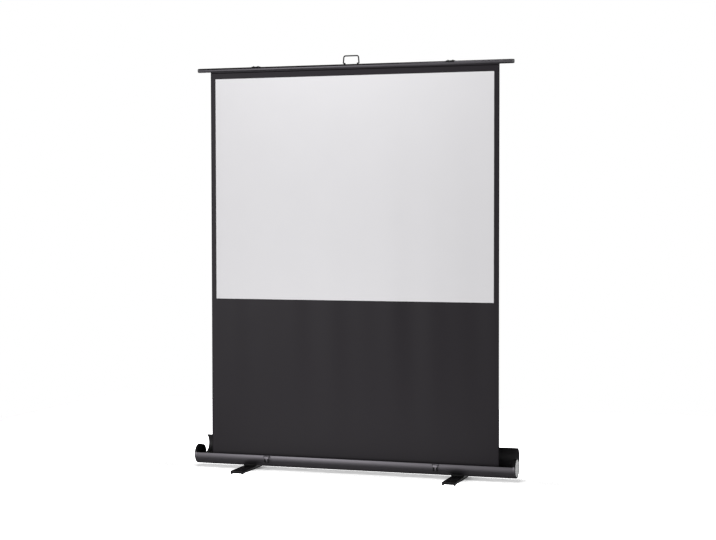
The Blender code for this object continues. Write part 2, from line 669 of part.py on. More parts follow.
def make_rails():
    seat = CASE_INNER - RAIL_SEAT_GAP
    inner = seat - RAIL_THICK
    outer_start = -math.degrees(math.acos(RAIL_Y / seat))
    outer_end = -math.degrees(math.acos((RAIL_BACK_Y + RAIL_FLANGE) / seat))
    inner_start = -math.degrees(math.acos(RAIL_BACK_Y / inner))
    floor = [(y, CASE_Z + z) for y, z in arc((0, 0), seat, outer_start, outer_end, 8)]
    floor += [(y, CASE_Z + z) for y, z in arc((0, 0), inner, outer_end, inner_start, 8)]
    top = BASE_PIVOT_Z + RAIL_CROWN
    base = floor + [(RAIL_BACK_Y, top), (RAIL_Y, top)]
    rail("base_rail", base, PIVOT_LEFT_X - RAIL_END, FOLDED_RIGHT_X + RAIL_END, BASE_PIVOT_Z)
    low = TOP_PIVOT_Z - RAIL_CROWN
    high = TOP_PIVOT_Z + RAIL_CROWN
    upper = [(RAIL_Y, low), (RAIL_BACK_Y + RAIL_FLANGE, low), (RAIL_BACK_Y + RAIL_FLANGE, low + RAIL_THICK)]
    upper += [(RAIL_BACK_Y, low + RAIL_THICK), (RAIL_BACK_Y, high), (RAIL_Y, high)]
    start = -HANGER_X - HANGER_WIDTH / 2
    rail("top_rail", upper, start, FOLDED_RIGHT_X + RAIL_END, TOP_PIVOT_Z)


def make_top_bar():
    """The slotted tube that holds the fabric's hem, its end plugs and the straps back to the rail."""
    offset = FABRIC_Y - BAR_Y
    middle = -90 + math.degrees(math.asin(offset / BAR_RADIUS))
    outer_half = math.degrees(BAR_SLOT / 2 / BAR_RADIUS / math.cos(math.asin(offset / BAR_RADIUS)))
    inner_mid = -90 + math.degrees(math.asin(offset / BAR_INNER))
    inner_half = math.degrees(BAR_SLOT / 2 / BAR_INNER / math.cos(math.asin(offset / BAR_INNER)))
    outline = arc((0, 0), BAR_RADIUS, middle + outer_half, middle + 360 - outer_half, 36)
    outline += arc((0, 0), BAR_INNER, inner_mid + 360 - inner_half, inner_mid + inner_half, 36)
    extruded("top_bar", [outline], 2 * BAR_HALF, anodised, (0, BAR_Y, BAR_Z))
    rim = BAR_RADIUS - PLUG_RIM_STEP
    spigot = BAR_INNER - GAP
    profile = [(PLUG_CAP, 0), (PLUG_CAP, rim - PLUG_CHAMFER), (PLUG_CAP - PLUG_CHAMFER, rim), (GAP, rim)]
    profile += [(GAP, spigot), (-PLUG_SPIGOT, spigot), (-PLUG_SPIGOT, 0)]
    for label, side in SIDES:
        at_end = (side * BAR_HALF, BAR_Y, BAR_Z)
        turned("bar_plug_" + label, profile, plastic, at_end, end_axes(side), steps=32)
    make_hangers()
    make_pull_handle()


def make_hangers():
    """Bent straps over the bar's crown that run back to the top rail and hook down behind it."""
    inside = BAR_RADIUS + GAP
    outside = inside + HANGER_THICK
    rear = RAIL_BACK_Y + GAP - BAR_Y
    leg_low = TOP_PIVOT_Z + PIN_HEAD_RADIUS + HANGER_LEG_GAP - BAR_Z
    outline = arc((0, 0), inside, 90, 150, 8) + arc((0, 0), outside, 150, 90, 8)
    outline += [(rear + HANGER_THICK, outside), (rear + HANGER_THICK, leg_low)]
    outline += [(rear, leg_low), (rear, inside)]
    for label, side in SIDES:
        at_strap = (side * HANGER_X, BAR_Y, BAR_Z)
        extruded("rail_hanger_" + label, [outline], HANGER_WIDTH, steel_black, at_strap)


def make_pull_handle():
    """A folding rod handle whose thinner, inturned ends sit in two clips on the bar."""
    leg = HANDLE_WIDTH / 2 - HANDLE_WIRE
    rise = HANDLE_RISE - HANDLE_AXIS_RISE - HANDLE_WIRE
    right = [(leg - HANDLE_STUB, 0), (leg - HANDLE_WIRE, 0)]
    lean = math.radians(HANDLE_LEAN_DEG)
    climb = rise - HANDLE_BEND - HANDLE_WIRE
    drift = (climb * math.sin(lean) + HANDLE_BEND - HANDLE_WIRE) / math.cos(lean)
    corner_x = leg - HANDLE_WIRE - drift
    right += arc((leg - HANDLE_WIRE, HANDLE_WIRE), HANDLE_WIRE, -90, HANDLE_LEAN_DEG, 3)[1:]
    right += arc((corner_x, rise - HANDLE_BEND), HANDLE_BEND, HANDLE_LEAN_DEG, 90, 6)
    path = [(x, 0, z) for x, z in right] + [(-x, 0, z) for x, z in reversed(right)]
    sizes = [1.0 if z > 0 else HANDLE_STUB_RADIUS / HANDLE_WIRE for x, y, z in path]
    wire("pull_handle", path, HANDLE_WIRE, steel_black, (0, BAR_Y, HANDLE_AXIS_Z), None, sizes)
    hole = HANDLE_STUB_RADIUS + PIN_PLAY
    crown = hole + CLIP_WALL
    axis = (0, BAR_RADIUS + HANDLE_AXIS_RISE)
    spread = math.degrees(math.asin((crown + CLIP_FLARE) / (BAR_RADIUS + GAP)))
    outline = arc((0, 0), BAR_RADIUS + GAP, 90 + spread, 90 - spread, 8) + arc(axis, crown, 0, 180, 10)
    clip_x = leg - HANDLE_WIRE - GAP - CLIP_WIDTH / 2
    for label, side in SIDES:
        loops = [outline, circle(axis, hole, 16)]
        extruded("handle_clip_" + label, loops, CLIP_WIDTH, plastic, (side * clip_x, BAR_Y, BAR_Z))


def make_latches():
    """Draw latches on the case front: a curved base with ears, a lever, and a wire bail that hangs."""
    pivot = polar(LATCH_AXIS_R, LATCH_AXIS_DEG)
    lever_mid = LEVER_INNER + LEVER_THICK / 2
    hook = polar(lever_mid, BAIL_AXIS_DEG)
    bail_leg = LEVER_WIDTH / 2 + GAP + BAIL_WIRE
    ear_x = bail_leg + BAIL_WIRE + GAP + EAR_THICK / 2
    plate = ring_sector(LATCH_INNER, LATCH_OUTER, LATCH_TOP_DEG, LATCH_BOTTOM_DEG, 14)
    ear = arc(pivot, EAR_RADIUS, LATCH_AXIS_DEG - 90, LATCH_AXIS_DEG + 90, 10)
    ear += [polar(LATCH_INNER + LATCH_THICK / 2, LATCH_AXIS_DEG + 5.5)]
    ear += [polar(LATCH_INNER + LATCH_THICK / 2, LATCH_AXIS_DEG - 4.5)]
    blade = ring_sector(LEVER_INNER, LEVER_INNER + LEVER_THICK, LATCH_AXIS_DEG + 1, LEVER_END_DEG, 14)
    for label, side in SIDES:
        x = side * LATCH_X
        base = as_mesh(extruded("latch_base_" + label, [plate], LATCH_WIDTH, steel_black, (x, 0, CASE_Z)))
        for hand in (-1, 1):
            loops = [ear, circle(pivot, LATCH_PIN + PIN_PLAY, 12)]
            lug = extruded("latch_ear", loops, EAR_THICK, None, (x + hand * ear_x, 0, CASE_Z))
            combine(base, lug, "UNION")
        loops = [[(y - pivot[0], z - pivot[1]) for y, z in blade]]
        at_pivot = (x, pivot[0], CASE_Z + pivot[1])
        lever = as_mesh(extruded("latch_lever_" + label, loops, LEVER_WIDTH, steel_black, at_pivot))
        combine(lever, rod("latch_knuckle", KNUCKLE_RADIUS, LEVER_WIDTH - 2 * GAP, at_pivot), "UNION")
        combine(lever, rod("latch_pin", LATCH_PIN, 2 * ear_x + EAR_THICK, at_pivot, steps=12), "UNION")
        at_hook = (x, hook[0], CASE_Z + hook[1])
        bail_hole = rod("bail_hole", BAIL_WIRE + PIN_PLAY, 2 * LEVER_WIDTH, at_hook, steps=12)
        combine(lever, bail_hole, "DIFFERENCE")
        right = [(LEVER_WIDTH / 2 - BAIL_STUB, 0), (bail_leg - BAIL_WIRE, 0)]
        right += arc((bail_leg - BAIL_WIRE, -BAIL_WIRE), BAIL_WIRE, 90, 0, 3)[1:]
        right += arc((bail_leg - BAIL_BEND, -BAIL_LENGTH + BAIL_BEND), BAIL_BEND, 0, -90, 4)
        path = [(px, 0, pz) for px, pz in right] + [(-px, 0, pz) for px, pz in reversed(right)]
        wire("latch_bail_" + label, path, BAIL_WIRE, steel_black, at_hook)


def make_feet():
    """Ribbed channel feet on corner pads, that swivel on a bolt under a saddle block."""
    half = FOOT_WIDTH / 2
    inner = half - FOOT_WALL
    corner = FOOT_CORNER
    roof = FOOT_PLATE_Z - FOOT_WALL
    pitch = (FOOT_WIDTH - 2 * corner) / RIB_COUNT
    outline = [(-inner, PAD_RISE), (-half, PAD_RISE)]
    outline += arc((-half + corner, FOOT_PLATE_Z - corner), corner, 180, 90, 5)
    for i in range(RIB_COUNT):
        middle = (i - (RIB_COUNT - 1) / 2) * pitch
        wide = RIB_WIDTH / 2
        crest = wide - RIB_HEIGHT
        outline += [(middle - wide, FOOT_PLATE_Z), (middle - crest, FOOT_HEIGHT)]
        outline += [(middle + crest, FOOT_HEIGHT), (middle + wide, FOOT_PLATE_Z)]
    outline += arc((half - corner, FOOT_PLATE_Z - corner), corner, 90, 0, 5)
    outline += [(half, PAD_RISE), (inner, PAD_RISE)]
    fillet = corner - FOOT_WALL
    outline += arc((inner - fillet, roof - fillet), fillet, 0, 90, 4)
    outline += arc((-inner + fillet, roof - fillet), fillet, 90, 180, 4)
    bore = BOLT_RADIUS + PIN_PLAY
    seat = CASE_RADIUS + GAP
    spread = math.degrees(math.asin(SADDLE_DEPTH / 2 / seat))
    block = arc((0, 0), seat, 270 - spread, 270 + spread, 12)
    block += [(SADDLE_DEPTH / 2, SADDLE_BASE_Z - CASE_Z), (-SADDLE_DEPTH / 2, SADDLE_BASE_Z - CASE_Z)]
    head_top = roof - GAP
    shank_top = CASE_Z - CASE_RADIUS - GAP
    bolt = [(shank_top, 0), (shank_top, BOLT_RADIUS), (head_top, BOLT_RADIUS), (head_top, BOLT_HEAD_RADIUS)]
    bolt += [(head_top - BOLT_HEAD_THICK, BOLT_HEAD_RADIUS), (head_top - BOLT_HEAD_THICK, 0)]
    for label, side in SIDES:
        x = side * FOOT_X
        foot = as_mesh(extruded("foot_" + label, [outline], FOOT_LENGTH, steel_black, (x, 0, 0), ALONG_Y))
        combine(foot, rod("foot_bore", bore, FOOT_HEIGHT, (x, 0, FOOT_HEIGHT), ALONG_Z), "DIFFERENCE")
        for hand in (-1, 1):
            for end in (-1, 1):
                pad_x = x + hand * (half + PAD_SWELL - PAD_WIDTH / 2)
                pad_y = end * (FOOT_LENGTH / 2 + PAD_SWELL - PAD_LENGTH / 2)
                size = (PAD_WIDTH, PAD_LENGTH, PAD_HEIGHT)
                combine(foot, box("foot_pad", size, (pad_x, pad_y, PAD_HEIGHT / 2)), "UNION")
        saddle = as_mesh(extruded("foot_saddle_" + label, [block], SADDLE_LENGTH, plastic, (x, 0, CASE_Z)))
        combine(saddle, rod("saddle_bore", bore, 2 * CASE_Z, (x, 0, CASE_Z), ALONG_Z), "DIFFERENCE")
        turned("foot_bolt_" + label, bolt, steel, (x, 0, 0), ALONG_Z, steps=24)


clear_scene()
parts = new_collection("pull_up_projection_screen")
cutters = new_collection("pull_up_projection_screen_cutters")
anodised = new_material("black_anodised", (0.045, 0.045, 0.048), 0.38, 0.6)
raw_aluminium = new_material("raw_aluminium", (0.62, 0.62, 0.64), 0.35, 1.0)
plastic = new_material("black_plastic", (0.022, 0.022, 0.023), 0.5)
inlay = new_material("grey_inlay", (0.40, 0.40, 0.41), 0.45)
steel = new_material("zinc_steel", (0.55, 0.55, 0.56), 0.35, 1.0)
steel_black = new_material("black_steel", (0.030, 0.030, 0.032), 0.42, 0.4)
black_fabric = new_material("black_fabric", (0.030, 0.030, 0.032), 0.85)
white_fabric = new_material("white_image_surface", (0.78, 0.77, 0.79), 0.7)
make_case()
make_lid()
make_end_caps()
make_roller()
make_fabric()
make_scissor()
make_rails()
make_top_bar()
make_latches()
make_feet()
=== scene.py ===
import json
import math

import bmesh
import bpy
from mathutils import Matrix, Vector

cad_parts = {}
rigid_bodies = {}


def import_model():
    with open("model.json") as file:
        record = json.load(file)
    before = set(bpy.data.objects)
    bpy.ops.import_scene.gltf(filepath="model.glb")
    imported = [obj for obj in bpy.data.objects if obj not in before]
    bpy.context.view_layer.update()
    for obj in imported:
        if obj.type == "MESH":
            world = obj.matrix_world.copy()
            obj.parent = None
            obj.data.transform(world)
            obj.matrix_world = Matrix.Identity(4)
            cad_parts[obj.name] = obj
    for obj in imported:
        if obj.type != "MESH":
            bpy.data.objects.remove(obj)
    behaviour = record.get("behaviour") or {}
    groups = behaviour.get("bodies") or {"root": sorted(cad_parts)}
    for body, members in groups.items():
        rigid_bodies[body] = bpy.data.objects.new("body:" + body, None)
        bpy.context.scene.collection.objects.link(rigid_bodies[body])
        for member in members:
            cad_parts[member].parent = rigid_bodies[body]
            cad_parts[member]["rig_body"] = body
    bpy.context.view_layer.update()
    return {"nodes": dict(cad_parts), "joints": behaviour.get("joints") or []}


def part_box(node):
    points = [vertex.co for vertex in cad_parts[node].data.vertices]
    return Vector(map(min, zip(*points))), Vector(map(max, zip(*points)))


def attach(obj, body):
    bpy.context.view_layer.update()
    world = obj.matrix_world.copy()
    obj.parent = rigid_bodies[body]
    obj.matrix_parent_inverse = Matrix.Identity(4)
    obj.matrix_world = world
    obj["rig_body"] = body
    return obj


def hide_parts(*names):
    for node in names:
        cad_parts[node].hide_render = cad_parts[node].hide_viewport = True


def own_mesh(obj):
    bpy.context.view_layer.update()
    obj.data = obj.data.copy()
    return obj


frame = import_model()
pivots = {joint["name"]: Vector(joint["pos_m"]) for joint in frame["joints"]}
sides = (("Left", "left", -1), ("Right", "right", 1))  # in piece names, in CAD names, sign along X


# camera, fitted to the image's corners, the cloth's edges and the feet
cameraView = {
    "frameWidth": 716,
    "focalPixels": 1561.04,
    "sensor": 36.0,
    "place": (2.6531, -8.1588, 1.4328),
    "turnLeft": 17.804,
    "lookDown": 2.059,
    "roll": -0.086,
}


def makeCamera():
    turn, down, roll = (math.radians(cameraView[k]) for k in ("turnLeft", "lookDown", "roll"))
    forward = Vector((-math.sin(turn) * math.cos(down), math.cos(turn) * math.cos(down), -math.sin(down)))
    level = Vector((math.cos(turn), math.sin(turn), 0))
    upright = level.cross(forward)
    right = math.cos(roll) * level + math.sin(roll) * upright
    up = math.cos(roll) * upright - math.sin(roll) * level
    lens = bpy.data.cameras.new("photoCamera")
    lens.sensor_width = cameraView["sensor"]
    lens.lens = cameraView["focalPixels"] * cameraView["sensor"] / cameraView["frameWidth"]
    camera = bpy.data.objects.new("photoCamera", lens)
    bpy.context.scene.collection.objects.link(camera)
    turned = Matrix((right, up, -forward)).transposed().to_4x4()
    camera.matrix_world = Matrix.Translation(cameraView["place"]) @ turned
    bpy.context.scene.camera = camera


# shader maths
class Signal:
    def __init__(self, nodeSet, socket):
        self.nodeSet = nodeSet
        self.socket = socket

    def calc(self, operation, first, second=0.0):
        return self.nodeSet.add("ShaderNodeMath", {"operation": operation}, {0: first, 1: second})

    def other(self, name):
        return Signal(self.nodeSet, self.socket.node.outputs[name])

    def __add__(self, value):
        return self.calc("ADD", self, value)

    def __radd__(self, value):
        return self.calc("ADD", value, self)

    def __sub__(self, value):
        return self.calc("SUBTRACT", self, value)

    def __rsub__(self, value):
        return self.calc("SUBTRACT", value, self)

    def __mul__(self, value):
        return self.calc("MULTIPLY", self, value)

    def __rmul__(self, value):
        return self.calc("MULTIPLY", value, self)

    def sine(self):
        return self.calc("SINE", self)

    def largest(self, value):
        return self.calc("MAXIMUM", self, value)


class NodeSet:
    def __init__(self, tree):
        self.tree = tree

    def add(self, kind, settings=None, sockets=None, output=0):
        node = self.tree.nodes.new(kind)
        for key, value in (settings or {}).items():
            setattr(node, key, value)
        for key, value in (sockets or {}).items():
            if isinstance(value, Signal):
                self.tree.links.new(value.socket, node.inputs[key])
            else:
                node.inputs[key].default_value = value
        return Signal(self, node.outputs[output])

    def steps(self, value, low, high):
        smooth = {"interpolation_type": "SMOOTHSTEP"}
        return self.add("ShaderNodeMapRange", smooth, {0: value, 1: low, 2: high})


class Finish(NodeSet):
    def __init__(self, name, **fixed):
        self.material = bpy.data.materials.new(name)
        self.material.use_nodes = True
        super().__init__(self.material.node_tree)
        self.shader = self.tree.nodes["Principled BSDF"]
        for key, value in fixed.items():
            self.shader.inputs[key].default_value = value

    def spots(self):
        return self.add("ShaderNodeTexCoord", output="Object")

    def cloth(self):
        return self.add("ShaderNodeUVMap", {"uv_map": "flat"})

    def noise(self, place, size, detail=2.0, stretch=(1, 1, 1)):
        spread = self.add("ShaderNodeMapping", {}, {"Vector": place, "Scale": stretch})
        return self.add("ShaderNodeTexNoise", {}, {"Vector": spread, "Scale": 1 / size, "Detail": detail})

    def blend(self, amount, first, second):
        return self.add("ShaderNodeMix", {"data_type": "RGBA"}, {0: amount, 6: first, 7: second}, 2)

    def tint(self, amount, dark, light):
        return self.blend(amount, (*dark, 1), (*light, 1))

    def feed(self, name, value):
        self.tree.links.new(value.socket, self.shader.inputs[name])

    def bump(self, height, strength, distance):
        sockets = {"Strength": strength, "Distance": distance, "Height": height}
        self.feed("Normal", self.add("ShaderNodeBump", {}, sockets))


def shades(tone, hue, spread):  # a darker and a lighter colour round one tone
    return [[tone * share * part for part in hue] for share in (1 - spread, 1 + spread)]


dieLines = {"size": 0.0016, "detail": 3.0, "stretch": (0.012, 1, 1)}


def anodisedFinish(name, tone, rough):  # satin black extrusion with faint die lines along its length
    look = Finish(name, **{"Metallic": 0.94, "Specular IOR Level": 0.5})
    place = look.spots()
    lines = look.noise(place, **dieLines)
    cloud = look.noise(place, size=0.055, detail=3.0)
    dark, light = shades(tone, hue=(1, 0.944, 1.04), spread=0.1)
    look.feed("Base Color", look.tint(0.6 * cloud + 0.4 * lines, dark, light))
    look.feed("Roughness", rough + 0.05 * lines + 0.05 * cloud)
    look.bump(lines, strength=0.10, distance=0.0002)
    return look.material


def shadedInsideFinish(name, tone):  # the same extrusion inside, as a darker and duller copy that paints the shade in the hollow
    look = Finish(name, **{"Specular IOR Level": 0.25})
    place = look.spots()
    lines = look.noise(place, **dieLines)
    cloud = look.noise(place, size=0.03, detail=3.0)
    dark, light = shades(tone, hue=(1, 0.95, 1.03), spread=0.3)
    look.feed("Base Color", look.tint(cloud, dark, light))
    look.feed("Roughness", 0.50 + 0.10 * lines)
    look.bump(lines, strength=0.10, distance=0.0002)
    return look.material


def plasticFinish(name, tone, gloss):  # moulded plastic with a spark-eroded grain
    look = Finish(name, **{"Specular IOR Level": gloss})
    place = look.spots()
    grain = look.noise(place, size=0.0009, detail=2.0)
    cloud = look.noise(place, size=0.02, detail=2.0)
    dark, light = shades(tone, hue=(1, 1, 1.06), spread=0.37)
    look.feed("Base Color", look.tint(cloud, dark, light))
    look.feed("Roughness", 0.46 + 0.16 * grain)
    look.bump(grain, strength=0.25, distance=0.0002)
    return look.material


def discFinish():  # plain satin grey, with a very fine speckle
    look = Finish("greyDisc", **{"Specular IOR Level": 0.5})
    place = look.spots()
    speck = look.noise(place, size=0.0007, detail=2.0)
    cloud = look.noise(place, size=0.03, detail=2.0)
    tone = 0.7 * cloud + 0.3 * speck
    look.feed("Base Color", look.tint(tone, (0.76, 0.76, 0.76), (0.83, 0.83, 0.83)))
    look.feed("Roughness", 0.34 + 0.12 * speck)
    look.bump(speck, strength=0.08, distance=0.0001)
    return look.material


def zincFinish():  # bright zinc plate with soft grey bloom
    look = Finish("zincPlate", **{"Metallic": 1.0})
    place = look.spots()
    bloom = look.noise(place, size=0.006, detail=3.0)
    grain = look.noise(place, size=0.0008, detail=2.0)
    look.feed("Base Color", look.tint(bloom, (0.46, 0.46, 0.47), (0.66, 0.66, 0.66)))
    look.feed("Roughness", 0.26 + 0.18 * bloom + 0.06 * grain)
    look.bump(grain, strength=0.08, distance=0.0001)
    return look.material


def powderFinish():  # black powder coat: orange peel and a few rubbed patches
    look = Finish("powderBlack", **{"Specular IOR Level": 0.28})
    place = look.spots()
    peel = look.noise(place, size=0.0014, detail=1.0)
    rub = look.steps(look.noise(place, size=0.012, detail=4.0), 0.62, 0.80)
    look.feed("Base Color", look.tint(rub, (0.006, 0.006, 0.0065), (0.020, 0.020, 0.021)))
    look.feed("Roughness", 0.36 + 0.12 * peel + 0.12 * rub)
    look.bump(peel, strength=0.18, distance=0.0003)
    return look.material


def tubeFinish():  # drawn aluminium tube
    look = Finish("drawnAluminium", **{"Metallic": 1.0})
    place = look.spots()
    lines = look.noise(place, size=0.0012, detail=3.0, stretch=(0.02, 1, 1))
    look.feed("Base Color", look.tint(lines, (0.52, 0.52, 0.53), (0.66, 0.66, 0.67)))
    look.feed("Roughness", 0.28 + 0.18 * lines)
    look.bump(lines, strength=0.10, distance=0.0001)
    return look.material


def weave(look, place, pitch):  # plain weave: two crossed thread waves, with uneven threads
    flat = look.add("ShaderNodeSeparateXYZ", {}, {"Vector": place})
    turns = 2 * math.pi / pitch
    across = (flat * turns).sine()
    along = (flat.other("Y") * turns).sine()
    slubs = [look.noise(place, size=0.004, stretch=way) for way in ((0.15, 1, 1), (1, 0.15, 1))]
    return across * along * 0.5 + (slubs[0] + slubs[1]) * 0.5


# distances in from the cloth's sides, for its darker sides, and down from the bar's underside, for a
# painted shadow line under the bar
clothTrim = {"sealed": (0.006, 0.003), "seamStart": (0.0085, 0.0065), "seamEnd": (0.0045, 0.0025)}


def blackClothFinish(halfWidth, barUnderside):  # satin woven backing, darker along its sides, with a painted shadow line just under the bar
    look = Finish("blackScreenCloth", **{"Specular IOR Level": 0.14})
    place = look.cloth()
    threads = weave(look, place, pitch=0.0008)
    cloud = look.noise(place, size=0.16, detail=3.0)
    side = look.add("ShaderNodeSeparateXYZ", {}, {"Vector": place})
    # the cloth's sides are made darker and rougher
    sealed = look.steps(side.largest(0 - side), *(halfWidth - far for far in clothTrim["sealed"]))
    height = look.add("ShaderNodeSeparateXYZ", {}, {"Vector": look.spots()}).other("Z")
    # painted shade: a dark, dull band on the cloth just below the bar, where the bar's shadow falls
    started = look.steps(height, *(barUnderside - far for far in clothTrim["seamStart"]))
    ended = look.steps(height, *(barUnderside - far for far in clothTrim["seamEnd"]))
    paintedBarShade = started * (1 - ended)
    tone = (0.35 * threads + 0.65 * cloud) * (1 - sealed) - sealed
    base = look.tint(tone, (0.0116, 0.0092, 0.0124), (0.0144, 0.0115, 0.0153))
    look.feed("Base Color", look.blend(paintedBarShade, base, (0.0030, 0.0025, 0.0030, 1)))
    look.feed("Roughness", 0.37 + 0.06 * cloud + 0.30 * sealed + 0.60 * paintedBarShade)
    look.bump(threads, strength=0.20, distance=0.0002)
    return look.material


def imageFinish():  # matt white coating with a fine pebbled grain
    look = Finish("mattWhiteCoating", **{"Specular IOR Level": 0.3})
    place = look.cloth()
    pebble = look.noise(place, size=0.0011, detail=2.0)
    cloud = look.noise(place, size=0.22, detail=3.0)
    tone = 0.8 * cloud + 0.2 * pebble
    look.feed("Base Color", look.tint(tone, (0.785, 0.775, 0.795), (0.815, 0.805, 0.825)))
    look.feed("Roughness", 0.62 + 0.16 * pebble)
    look.bump(pebble, strength=0.12, distance=0.0002)
    return look.material


# mesh helpers, with welds in metres and angles in degrees
weld = {"plain": 0.000005, "solid": 0.000008, "outline": 0.00003}
angle = {"flat": 0.4, "fineSmooth": 25, "smooth": 35, "sharp": 40, "rim": 60}
quarterTurn = range(0, 91, 15)


def finishPiece(name, bm, finish, body, stoodFor=(), smoothLimit=angle["smooth"]):
    limit = math.radians(smoothLimit)
    for face in bm.faces:
        face.smooth = True
    for edge in bm.edges:
        edge.smooth = len(edge.link_faces) == 2 and edge.calc_face_angle() < limit
    mesh = bpy.data.meshes.new(name)
    bm.to_mesh(mesh)
    bm.free()
    piece = bpy.data.objects.new(name, mesh)
    bpy.context.scene.collection.objects.link(piece)
    mesh.materials.append(finish)
    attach(piece, body)
    if stoodFor:
        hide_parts(*stoodFor)
    return piece


def cleaned(bm, near=weld["plain"]):
    bmesh.ops.remove_doubles(bm, verts=bm.verts, dist=near)
    bmesh.ops.recalc_face_normals(bm, faces=bm.faces)
    return bm


def bevelled(bm, edges, width, segments=2):
    bmesh.ops.bevel(bm, geom=edges, offset=width, affect="EDGES", segments=segments, profile=0.5,
                    material=-1, clamp_overlap=True)
    return bm


def rounded(bm, width):
    limit = math.radians(angle["sharp"])
    edges = [e for e in bm.edges if len(e.link_faces) == 2 and e.calc_face_angle() > limit]
    return bevelled(bm, edges, width)


def cornersOf(geom):
    return [item for item in geom if isinstance(item, bmesh.types.BMVert)]


def facing(place, along):  # carries the origin to a place, and Z to a direction
    return Matrix.Translation(place) @ Vector(along).to_track_quat("Z", "Y").to_matrix().to_4x4()


def pieceName(node):
    words = node.split("_")
    return words[0] + "".join(word.capitalize() for word in words[1:])


def polar(radius, degrees):
    return radius * math.cos(math.radians(degrees)), radius * math.sin(math.radians(degrees))


class Outline:  # a closed line across X, drawn from runs and arcs, then pulled along X
    def __init__(self, x, start):
        self.bm = bmesh.new()
        self.x = x
        self.start = start
        self.tip = self.bm.verts.new((x, *start))

    def to(self, y, z):
        self.tip = bmesh.ops.extrude_vert_indiv(self.bm, verts=[self.tip])["verts"][0]
        self.tip.co = (self.x, y, z)
        return self

    def arc(self, centre, degrees, steps):
        turned = bmesh.ops.spin(self.bm, geom=[self.tip], cent=(self.x, *centre), axis=(1, 0, 0),
                                angle=math.radians(degrees), steps=steps)
        self.tip = cornersOf(turned["geom_last"])[0]
        return self

    def pulled(self, length, edge):
        bm = self.bm
        self.to(*self.start)
        bmesh.ops.remove_doubles(bm, verts=bm.verts, dist=weld["outline"])
        section = bmesh.ops.contextual_create(bm, geom=bm.edges[:])["faces"]
        grown = bmesh.ops.extrude_face_region(bm, geom=section)["geom"]
        bmesh.ops.translate(bm, verts=cornersOf(grown), vec=(length, 0, 0))
        bmesh.ops.recalc_face_normals(bm, faces=bm.faces)
        ends = [e for e in bm.edges if abs(e.verts[0].co.x - e.verts[1].co.x) < 0.5 * abs(length)]
        return bevelled(bm, ends, edge)


class Pipe:  # a round wire made of straight runs and bends
    def __init__(self, start, along, radius, around=16):
        self.bm = bmesh.new()
        bmesh.ops.create_circle(self.bm, radius=radius, segments=around, matrix=facing(start, along))
        self.ring = self.bm.edges[:]

    def run(self, step):
        made = bmesh.ops.extrude_edge_only(self.bm, edges=self.ring)["geom"]
        bmesh.ops.translate(self.bm, verts=cornersOf(made), vec=step)
        self.ring = [e for e in made if isinstance(e, bmesh.types.BMEdge)]
        return self

    def swell(self, step, factor):
        self.run(step)
        verts = list({v for e in self.ring for v in e.verts})
        middle = sum((v.co for v in verts), Vector()) / len(verts)
        bmesh.ops.scale(self.bm, verts=verts, vec=(factor,) * 3, space=Matrix.Translation(-middle))
        return self

    def bend(self, centre, axis, degrees, steps):
        made = bmesh.ops.spin(self.bm, geom=self.ring, cent=centre, axis=axis,
                              angle=math.radians(degrees), steps=steps)
        self.ring = [e for e in made["geom_last"] if isinstance(e, bmesh.types.BMEdge)]
        return self

    def capped(self, edge):
        bm = self.bm
        bmesh.ops.holes_fill(bm, edges=[e for e in bm.edges if e.is_boundary], sides=0)
        cleaned(bm)
        rims = [e for e in bm.edges if e.calc_face_angle() > math.radians(angle["rim"])]
        return bevelled(bm, rims, edge, segments=3)


def turnedShape(points, place, along, around):  # points are (distance along the axis, radius)
    bm = bmesh.new()
    tip = bm.verts.new((points[0][1], 0, points[0][0]))
    for far, radius in points[1:]:
        tip = bmesh.ops.extrude_vert_indiv(bm, verts=[tip])["verts"][0]
        tip.co = (radius, 0, far)
    bmesh.ops.spin(bm, geom=bm.verts[:] + bm.edges[:], cent=(0, 0, 0), axis=(0, 0, 1), angle=2 * math.pi,
                   steps=around, use_merge=True)
    cleaned(bm)
    bmesh.ops.transform(bm, matrix=facing(place, along), verts=bm.verts)
    return bm


softEdge = {"thin": 0.0002, "plain": 0.0003, "arm": 0.0004, "moulded": 0.0005, "block": 0.0006}


def softened(node, finish, width):  # the CAD solid with its sharp edges rounded
    bm = bmesh.new()
    bm.from_mesh(frame["nodes"][node].data)
    cleaned(bm, weld["solid"])
    flat = math.radians(angle["flat"])
    bmesh.ops.dissolve_limit(bm, angle_limit=flat, verts=bm.verts, edges=bm.edges)
    rounded(bm, width)
    return finishPiece(pieceName(node), bm, finish, frame["nodes"][node]["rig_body"], [node])


makeCamera()
print("camera set")

anodised = anodisedFinish("anodisedCase", tone=0.130, rough=0.40)
anodisedBar = anodisedFinish("anodisedBar", tone=0.095, rough=0.36)
satinSteel = anodisedFinish("satinSteel", tone=0.185, rough=0.36)
# darker copies of the extrusion for the insides of the case and the lid: painted shade
shadedTroughInside = shadedInsideFinish("dullTrough", tone=0.009)
shadedLidInside = shadedInsideFinish("dullLid", tone=0.026)
plastic = plasticFinish("mouldedBlack", tone=0.008, gloss=0.14)
plugGrey = plasticFinish("mouldedGrey", tone=0.085, gloss=0.50)
discGrey = discFinish()
zinc = zincFinish()
powder = powderFinish()
rawTube = tubeFinish()
blackCloth = blackClothFinish(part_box("screen_fabric")[1].x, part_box("top_bar")[0].z)
imageWhite = imageFinish()
print("finishes mixed")


# cloth: a taut sheet with faint upright waves, its white image surface, its hem and its wraps
cloth = {
    "thick": 0.0008,
    "coat": 0.0004,
    "coatGap": 0.00003,
    "wave": 0.0020,
    "ripples": (
        {"width": 0.30, "share": 0.6, "start": 0.6, "drift": 0},
        {"width": 0.19, "share": 0.4, "start": 2.1, "drift": 2},
    ),
    "columns": 96,
    "rows": 120,
    "hemRadius": 0.0026,
    "hemEdge": 0.0004,
    "lowered": 0.0187,
    "wrapStart": 0.0167,
    "wrapThick": 0.00072,
    "wrapSteps": 24,
    "halfTurns": 4,
}


